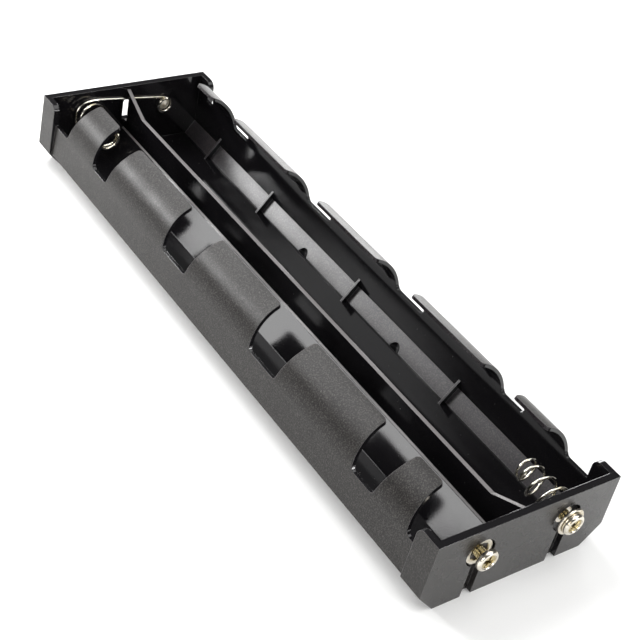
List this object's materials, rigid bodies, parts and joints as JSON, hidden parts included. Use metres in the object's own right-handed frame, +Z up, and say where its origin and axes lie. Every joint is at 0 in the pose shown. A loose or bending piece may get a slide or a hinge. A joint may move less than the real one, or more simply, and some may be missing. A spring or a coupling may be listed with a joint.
{
  "type": "cylindrical cell holder",
  "caption": "Open plastic holder for two rows of round cells, with curled retaining tabs, finger gaps, spring contacts and screw terminals at one end.",
  "frame": {"origin": "centre of the footprint, on the surface that the holder stands on", "axes": "+Z up out of the open side, +Y along the rows towards the far end, away from the screw terminals; +X to the right"},
  "size_m": [0.075, 0.2641, 0.0349],
  "materials": {
    "black_plastic": "fine-grained, semi-gloss",
    "spring_wire": "nickel-plated drawn wire",
    "nickel_plate": "bright nickel plate"
  },
  "bodies": {
    "holder": {"housing": "black_plastic", "bridge_spring": "spring_wire", "negative_spring": "spring_wire", "contact_rivet": "nickel_plate", "left_terminal_eyelet": "nickel_plate", "right_terminal_eyelet": "nickel_plate"},
    "left_advance": {"left_washer": "nickel_plate"},
    "left_screw": {"left_terminal_screw": "nickel_plate"},
    "right_advance": {"right_washer": "nickel_plate"},
    "right_screw": {"right_terminal_screw": "nickel_plate"}
  },
  "joints": [
    {"name": "left_terminal_advance", "type": "slide", "parent": "holder", "child": "left_advance", "axis": [0, -1, 0], "range_m": [0, 0.0014]},
    {"name": "left_terminal_turn", "type": "hinge", "parent": "left_advance", "child": "left_screw", "pos_m": [-0.01755, -0.13, 0.0188], "axis": [0, -1, 0], "range_deg": [0, 720]},
    {"name": "right_terminal_advance", "type": "slide", "parent": "holder", "child": "right_advance", "axis": [0, -1, 0], "range_m": [0, 0.0014]},
    {"name": "right_terminal_turn", "type": "hinge", "parent": "right_advance", "child": "right_screw", "pos_m": [0.01755, -0.13, 0.0188], "axis": [0, -1, 0], "range_deg": [0, 720]}
  ],
  "couplings": [
    {"joint": "left_terminal_turn", "follows": "left_terminal_advance", "rad_per_m": 8976},
    {"joint": "right_terminal_turn", "follows": "right_terminal_advance", "rad_per_m": 8976}
  ]
}
